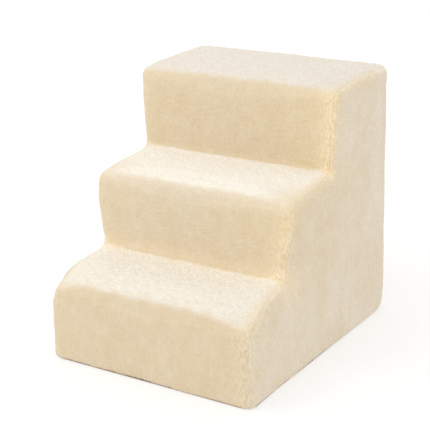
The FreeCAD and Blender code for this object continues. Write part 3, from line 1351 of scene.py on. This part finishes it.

# %% [markdown]
# Fibres gather in locks a few millimetres wide. A cell pattern gives a lock its rounded top and
# the gap beside it, which the plush and foam darken, partly as painted shade, and a small noise
# bends the cells so that they don't look like tiles.

# %% Effect: fibre locks
def make_fibre_locks():
    group, given, wanted = new_effect(
        "fibre_locks", {"Lock Size": 0.003, "Hang": 0.5}, {"Height": "Float", "Gap": "Float"})
    place = stretched(group, 1.0, given["Hang"])
    bend = put(group, "ShaderNodeTexNoise", Vector=place, Scale=220.0, Detail=1.0)
    bend = vector_maths(group, "SUBTRACT", bend.outputs["Color"], (0.5, 0.5, 0.5))
    bend = vector_maths(group, "MULTIPLY", bend, (0.004, 0.004, 0.004))
    place = vector_maths(group, "ADD", place, bend)
    cells = maths(group, "DIVIDE", 1.0, given["Lock Size"])
    round_tops = put(group, "ShaderNodeTexVoronoi", Vector=place, Scale=cells)
    borders = put(group, "ShaderNodeTexVoronoi", feature="DISTANCE_TO_EDGE", Vector=place,
                  Scale=cells)
    group.links.new(maths(group, "SUBTRACT", 1.0, round_tops.outputs["Distance"]),
                    wanted["Height"])
    gap = ramp(group, borders.outputs["Distance"], 0.02, 0.16, 1.0, 0.0)
    group.links.new(gap, wanted["Gap"])
    return group


FIBRE_LOCKS = make_fibre_locks()
print("made", FIBRE_LOCKS.name)

# %% [markdown]
# Pile that leans another way looks lighter or darker, in patches as wide as a hand that strokes
# it. The patches are a broad noise with soft edges, drawn out along the stroke.

# %% Effect: stroked patches
def make_stroked_patches():
    group, given, wanted = new_effect(
        "stroked_patches", {"Patch Size": 0.06, "Hang": 0.5, "Softness": 0.1},
        {"Patch": "Float"})
    place = stretched(group, 1.0, given["Hang"])
    cells = maths(group, "DIVIDE", 1.0, given["Patch Size"])
    strokes = put(group, "ShaderNodeTexNoise", Vector=place, Scale=cells, Detail=4.0,
                  Roughness=0.6, Distortion=0.4)
    low = maths(group, "SUBTRACT", 0.5, given["Softness"])
    high = maths(group, "ADD", 0.5, given["Softness"])
    group.links.new(ramp(group, strokes.outputs[0], low, high), wanted["Patch"])
    return group


STROKED_PATCHES = make_stroked_patches()
print("made", STROKED_PATCHES.name)

# %% [markdown]
# Single fibres, lint and brush marks are fine noise around 1, which multiplies a colour.

# %% Effect: fine grain
def make_fine_grain():
    group, given, wanted = new_effect(
        "fine_grain", {"Grain Size": 0.0012, "Across": 1.0, "Hang": 1.0, "Strength": 0.1},
        {"Grain": "Float"})
    place = stretched(group, given["Across"], given["Hang"])
    cells = maths(group, "DIVIDE", 1.0, given["Grain Size"])
    specks = put(group, "ShaderNodeTexNoise", Vector=place, Scale=cells, Detail=3.0)
    swing = maths(group, "MULTIPLY", maths(group, "SUBTRACT", specks.outputs[0], 0.5),
                  given["Strength"])
    group.links.new(maths(group, "ADD", 1.0, swing), wanted["Grain"])
    return group


FINE_GRAIN = make_fine_grain()
print("made", FINE_GRAIN.name)

# %% [markdown]
# Plain weave is two sets of threads that pass over each other in turn. Each set is a row of
# half waves, and a checker says which set is on top.

# %% Effect: plain weave
def make_plain_weave():
    group, given, wanted = new_effect(
        "plain_weave", {"Thread": 0.0008, "Upright": 0.0}, {"Height": "Float", "Over": "Float"})
    parts = put(group, "ShaderNodeSeparateXYZ", Vector=object_place(group)).outputs
    across = maths(group, "DIVIDE", parts["X"], given["Thread"])
    flat = maths(group, "MULTIPLY", parts["Y"], maths(group, "SUBTRACT", 1.0, given["Upright"]))
    tall = maths(group, "MULTIPLY", parts["Z"], given["Upright"])
    along = maths(group, "DIVIDE", maths(group, "ADD", flat, tall), given["Thread"])
    crests = [maths(group, "ABSOLUTE", maths(group, "SINE", maths(group, "MULTIPLY", v, math.pi)))
              for v in (across, along)]
    turns = maths(group, "ADD", maths(group, "FLOOR", across), maths(group, "FLOOR", along))
    over = maths(group, "PINGPONG", turns, 1.0)
    height = maths(group, "ADD", maths(group, "MULTIPLY", crests[0], over),
                   maths(group, "MULTIPLY", crests[1], maths(group, "SUBTRACT", 1.0, over)))
    group.links.new(height, wanted["Height"])
    group.links.new(over, wanted["Over"])
    return group


PLAIN_WEAVE = make_plain_weave()
print("made", PLAIN_WEAVE.name)

# %% [markdown]
# Every finish below starts from a name and its settings and ends with a colour, a roughness and
# a fine relief. In between it uses the effects, each under a short name of its own.

# %% Starting and completing a finish
def started(name, **settings):
    finish = new_finish(name, **settings)
    return finish, finish.node_tree


def complete(finish, shade, roughness, height, distance, strength=1.0):
    tree = finish.node_tree
    shader = tree.nodes["Principled BSDF"].inputs
    bump = put(tree, "ShaderNodeBump", Height=height, Distance=distance, Strength=strength)
    tree.links.new(shade, shader["Base Color"])
    tree.links.new(roughness, shader["Roughness"])
    tree.links.new(bump.outputs["Normal"], shader["Normal"])
    return finish


def use(tree, group, **values):
    return put(tree, "ShaderNodeGroup", node_tree=group, **values).outputs


def patch_map(tree, **values):
    return use(tree, STROKED_PATCHES, **values)["Patch"]


def grain_map(tree, **values):
    return use(tree, FINE_GRAIN, **values)["Grain"]


def painted(tree, name):
    return put(tree, "ShaderNodeAttribute", attribute_name=name).outputs["Fac"]


def darker(colour, shares):
    return tuple(v * share for v, share in zip(colour, shares)) + (1,)


print("finishes can start")

# %% [markdown]
# The plush is cream. Pile that stands up on the treads is paler, partly its own pale tips and
# partly painted top light, and pile that hangs on the walls is warmer, partly painted shade, with a
# golden glow near the upright seams, and between the parted strands it is honey-coloured. Where the
# pile bends over an edge it carries a painted highlight of pale strand colour.
# The knitted backing shows through as faint rows across the steps, and the sides have flecks
# where the pile was stroked down. All of it reflects softly at a grazing angle, as fine fibres
# do, which is what the sheen is for.

# %% The plush
TIP_CREAM = (0.844, 0.818, 0.745, 1)
# The next two tips are a lighter and a darker copy of the cream tip: painted light on the second
# tread and painted shade on the top tread.
TIP_LIT_STEP_2 = (0.880, 0.844, 0.766, 1)
TIP_SHADED_STEP_3 = (0.771, 0.742, 0.698, 1)
WARM_FLEECE = (0.665, 0.543, 0.362, 1)
COOL_FLEECE = (0.755, 0.680, 0.580, 1)
GLOW_GOLD = (0.745, 0.592, 0.340, 1)
PALE_FLECK_AND_HIGHLIGHT = (0.830, 0.760, 0.650, 1)
STRAND_AND_HIGHLIGHT = (0.930, 0.830, 0.620, 1)
HONEY = (0.800, 0.620, 0.340, 1)
ROOT_GOLD_AND_SHADE = (0.640, 0.480, 0.260, 1)


def make_plush(name, tip, side=0, cool_share_with_painted_light=0.08, calm=0.0):
    finish, tree = started(name, Sheen_Weight=0.25, Sheen_Roughness=0.5,
                           Sheen_Tint=(1, 0.96, 0.88, 1), Specular_IOR_Level=0.15)
    patches = patch_map(tree, Patch_Size=0.055 + 0.025 * side, Hang=0.3 + 0.2 * side,
                        Softness=0.06 + 0.09 * side)
    blotches = patch_map(tree, Patch_Size=0.016, Hang=0.6, Softness=0.2)
    # The cool share of a copy is raised as painted light on the second step, and raised for the
    # sides too.
    cool = maths(tree, "MULTIPLY_ADD", patches, 0.12 + 0.40 * side, cool_share_with_painted_light)
    depth = put(tree, "ShaderNodeSeparateXYZ", Vector=object_place(tree)).outputs["Y"]
    cool = maths(tree, "ADD", cool, ramp(tree, depth, -0.1, 0.22, -0.1 * side, 0.22 * side))
    body = mixed(tree, cool, WARM_FLEECE, COOL_FLEECE)
    body = mixed(tree, maths(tree, "MULTIPLY", painted(tree, "glow"), 0.5), body, GLOW_GOLD)
    body = mixed(tree, maths(tree, "MULTIPLY", blotches, 0.15 + 0.05 * side), body, TIP_CREAM)
    flecks = grain_map(tree, Grain_Size=0.0036, Hang=0.25 + 0.2 * side, Strength=1.0)
    flecks = ramp(tree, flecks, 1.04, 1.18, 0.0, 0.15 + 0.25 * side)
    body = mixed(tree, flecks, body, PALE_FLECK_AND_HIGHLIGHT)
    # Painted highlight on the upper rim of each riser.
    body = mixed(tree, painted(tree, "brow"), body, PALE_FLECK_AND_HIGHLIGHT)
    upward = painted(tree, "upward")
    # The tip colour on the treads is partly the pile's own pale tips and partly painted top light.
    body = mixed(tree, upward, body, tip)
    # Painted highlight where the pile bends over an edge.
    body = mixed(tree, maths(tree, "MULTIPLY", painted(tree, "bend"), 0.5), body, STRAND_AND_HIGHLIGHT)
    parted = painted(tree, "parted")
    strands = grain_map(tree, Grain_Size=0.0020, Hang=0.2, Strength=1.0)
    between = mixed(tree, painted(tree, "glow"), ROOT_GOLD_AND_SHADE, HONEY)
    bright = mixed(tree, painted(tree, "glow"), PALE_FLECK_AND_HIGHLIGHT, STRAND_AND_HIGHLIGHT)
    strands = mixed(tree, ramp(tree, strands, 0.86, 1.12), between, bright)
    body = mixed(tree, maths(tree, "MULTIPLY", parted, 0.9), body, strands)
    lock = use(tree, FIBRE_LOCKS, Lock_Size=0.0026, Hang=0.55)
    # Low pile and the gaps between locks mix toward the root colour: partly the golden roots
    # showing and partly painted shade in the valleys.
    valley_roots_and_shade = maths(tree, "SUBTRACT", 1.0, painted(tree, "pile"))
    gaps = maths(tree, "MULTIPLY", lock["Gap"], 0.1)
    gaps = maths(tree, "MULTIPLY_ADD", valley_roots_and_shade, maths(tree, "MULTIPLY_ADD", parted, 0.06, 0.12), gaps)
    calmed = maths(tree, "MULTIPLY_ADD", upward, -calm, 1.0)
    body = mixed(tree, maths(tree, "MULTIPLY", gaps, calmed), body, ROOT_GOLD_AND_SHADE)
    rows = grain_map(tree, Grain_Size=0.0028, Across=0.18, Hang=1.0, Strength=1.0)
    shown = maths(tree, "MULTIPLY_ADD", upward, 0.14, 0.12 - 0.10 * side)
    rows = maths(tree, "MULTIPLY", ramp(tree, rows, 0.88, 1.12, 1.0, 0.0), shown)
    rows = maths(tree, "MULTIPLY", rows, calmed)
    body = mixed(tree, rows, body, WARM_FLEECE)
    grain = grain_map(tree, Grain_Size=0.0016, Hang=0.6, Strength=0.24)
    lit = maths(tree, "MULTIPLY_ADD", painted(tree, "foot"), 0.14, 1.0)
    grained = put(tree, "ShaderNodeHueSaturation", Color=body,
                  Value=maths(tree, "MULTIPLY", grain, lit))
    fibres = grain_map(tree, Grain_Size=0.0009, Hang=0.5, Strength=0.9)
    return complete(finish, grained.outputs[0], ramp(tree, patches, 0, 1, 0.84, 0.94),
                    maths(tree, "ADD", lock["Height"], fibres), 0.5 * MM, 0.8)


plush = make_plush("cream_plush", TIP_CREAM)
side_plush = make_plush("side_plush", TIP_CREAM, side=1, cool_share_with_painted_light=0.3)
# The second step's plush is a copy painted lighter and the top step's a copy painted darker.
special = {"plush_step_2": make_plush("pale_plush", TIP_LIT_STEP_2, cool_share_with_painted_light=0.2, calm=0.6),
           "plush_step_3": make_plush("worn_plush", TIP_SHADED_STEP_3),
           "plush_side_left": side_plush, "plush_side_right": side_plush}
for name, obj in cover.items():
    obj.data.materials.append(special.get(name, plush))
print("plush on", len(cover), "panels")

# %% [markdown]
# The base is a brown woven cloth with matt rubber dots. Its threads are coarse, so the weave
# shows from below, their crests carry a painted highlight, and lint has gathered in it.

# %% Base cloth and dots
BASE_BROWN = (0.400, 0.290, 0.210, 1)
LINT_AND_HIGHLIGHT = (0.42, 0.32, 0.25, 1)


def make_grip_cloth():
    finish, tree = started("grip_cloth", Specular_IOR_Level=0.2, Sheen_Weight=0.1)
    weave = use(tree, PLAIN_WEAVE, Thread=0.0009)
    lint = patch_map(tree, Patch_Size=0.02, Hang=1.0, Softness=0.25)
    # Thread crests mix toward the lint colour: a painted highlight.
    shade = mixed(tree, maths(tree, "MULTIPLY", weave["Height"], 0.35), BASE_BROWN, LINT_AND_HIGHLIGHT)
    shade = mixed(tree, maths(tree, "MULTIPLY", lint, 0.12), shade, LINT_AND_HIGHLIGHT)
    return complete(finish, shade, ramp(tree, lint, 0, 1, 0.8, 0.95), weave["Height"], 0.25 * MM)


def make_dot_rubber():
    finish, tree = started("dot_rubber", Specular_IOR_Level=0.35)
    dust = patch_map(tree, Patch_Size=0.01, Hang=1.0, Softness=0.3)
    shade = mixed(tree, maths(tree, "MULTIPLY", dust, 0.25), (0.03, 0.024, 0.02, 1), LINT_AND_HIGHLIGHT)
    grain = grain_map(tree, Grain_Size=0.0005, Strength=1.0)
    return complete(finish, shade, ramp(tree, dust, 0, 1, 0.5, 0.75), grain, 0.05 * MM)


def make_thread(name, colour, twist):
    finish, tree = started(name, Specular_IOR_Level=0.35, Sheen_Weight=0.15)
    parts = put(tree, "ShaderNodeSeparateXYZ", Vector=object_place(tree)).outputs
    run = maths(tree, "ADD", parts["X"], parts["Y"])
    turns = maths(tree, "SINE", maths(tree, "MULTIPLY", run, 2 * math.pi / twist))
    # Half of each twist is darker: painted shade in the grooves of the twisted thread.
    shade = mixed(tree, ramp(tree, turns, -1, 1, 0.0, 0.5), colour,
                  darker(colour, (0.6, 0.6, 0.6)))
    return complete(finish, shade, ramp(tree, turns, -1, 1, 0.55, 0.7), turns, 0.06 * MM)


base_cloth.data.materials.append(make_grip_cloth())
grip_dots.data.materials.append(make_dot_rubber())
base_stitches.data.materials.append(make_thread("brown_thread", (0.16, 0.11, 0.07, 1), 0.0011))
print("base finishes on")

# %% [markdown]
# The tapes are a tight beige weave, the coils are nylon in the same colour with a slight gloss,
# and the slider, pull and stops are nickel-plated zinc, rubbed by fingers in random patches.

# %% Zip finishes
TAPE_BEIGE = (0.80, 0.71, 0.55, 1)
NICKEL = (0.60, 0.58, 0.55, 1)
WORN_NICKEL = (0.42, 0.36, 0.29, 1)


def make_tape_weave():
    finish, tree = started("tape_weave", Specular_IOR_Level=0.25, Sheen_Weight=0.15)
    weave = use(tree, PLAIN_WEAVE, Thread=0.0006, Upright=1.0)
    # Low parts of the weave mix toward dark brown: painted shade between the threads.
    shade = mixed(tree, ramp(tree, weave["Height"], 0, 1, 0.45, 0.0), TAPE_BEIGE,
                  (0.46, 0.37, 0.25, 1))
    shade = mixed(tree, maths(tree, "MULTIPLY", weave["Over"], 0.12), shade, (0.9, 0.8, 0.65, 1))
    return complete(finish, shade, ramp(tree, weave["Height"], 0, 1, 0.9, 0.7),
                    weave["Height"], 0.15 * MM)


def make_coil_nylon():
    finish, tree = started("coil_nylon", Specular_IOR_Level=0.5)
    cloudy = patch_map(tree, Patch_Size=0.004, Hang=1.0, Softness=0.3)
    shade = mixed(tree, maths(tree, "MULTIPLY", cloudy, 0.4), (0.74, 0.66, 0.50, 1),
                  (0.82, 0.76, 0.63, 1))
    grain = grain_map(tree, Grain_Size=0.0003, Strength=1.0)
    return complete(finish, shade, ramp(tree, cloudy, 0, 1, 0.28, 0.42), grain, 0.02 * MM)


def make_nickel():
    finish, tree = started("zip_nickel", Metallic=1.0)
    rubbed = patch_map(tree, Patch_Size=0.003, Hang=1.0, Softness=0.15)
    brushed = grain_map(tree, Grain_Size=0.0004, Hang=6.0, Strength=0.8)
    shade = mixed(tree, maths(tree, "MULTIPLY", rubbed, 0.35), NICKEL, WORN_NICKEL)
    rough = maths(tree, "MULTIPLY", ramp(tree, rubbed, 0, 1, 0.26, 0.42), brushed)
    return complete(finish, shade, rough, brushed, 0.02 * MM)


nickel = make_nickel()
zip_finishes = {"woven_tape": make_tape_weave(), "nylon_coil": make_coil_nylon(),
                "coil_thread": make_thread("cream_thread", (0.72, 0.63, 0.48, 1), 0.0007),
                "crimped_stop": nickel, "cast_slider": nickel, "pull_tab": nickel}
for obj in bpy.data.objects:
    for start, finish in zip_finishes.items():
        if obj.name.startswith(start):
            obj.data.materials.append(finish)
print("zip finishes", len(zip_finishes))

# %% [markdown]
# Foam is full of small open cells, so it is matt and pitted. The firm slabs are a greyed white,
# and the softer pads are yellower. The liner is a thin plain weave.

# %% Foam and liner
def make_foam(name, colour, pore):
    finish, tree = started(name, Specular_IOR_Level=0.1, Subsurface_Weight=0.05,
                           Subsurface_Scale=0.004)
    cell = use(tree, FIBRE_LOCKS, Lock_Size=pore, Hang=1.0)
    aged = patch_map(tree, Patch_Size=0.07, Hang=1.0, Softness=0.25)
    # Pores and low cells are darkened: painted shade in the pits.
    pore_shade = darker(colour, (0.62, 0.55, 0.42))
    shade = mixed(tree, maths(tree, "MULTIPLY", cell["Height"], 0.3), pore_shade, colour)
    shade = mixed(tree, maths(tree, "MULTIPLY", cell["Gap"], 0.6), pore_shade, shade)
    shade = mixed(tree, maths(tree, "MULTIPLY", aged, 0.2), shade, (0.8, 0.62, 0.34, 1))
    return complete(finish, shade, ramp(tree, aged, 0, 1, 0.88, 0.97), cell["Gap"], 0.3 * MM)


def make_liner_weave():
    finish, tree = started("liner_weave", Specular_IOR_Level=0.2)
    weave = use(tree, PLAIN_WEAVE, Thread=0.0007, Upright=0.5)
    # Low parts of the weave mix toward a darker grey: painted shade between the threads.
    shade = mixed(tree, ramp(tree, weave["Height"], 0, 1, 0.25, 0.0), (0.78, 0.76, 0.71, 1),
                  (0.5, 0.47, 0.4, 1))
    return complete(finish, shade, ramp(tree, weave["Height"], 0, 1, 0.9, 0.75),
                    weave["Height"], 0.12 * MM)


firm_foam = make_foam("firm_foam", (0.80, 0.78, 0.70, 1), 0.0022)
soft_foam = make_foam("pad_foam", (0.84, 0.76, 0.52, 1), 0.0030)
for name in foam_pieces:
    bpy.data.objects[name].data.materials.append(soft_foam if "pad" in name else firm_foam)
liner.data.materials.append(make_liner_weave())
print("materials", sorted(m.name for m in bpy.data.materials))
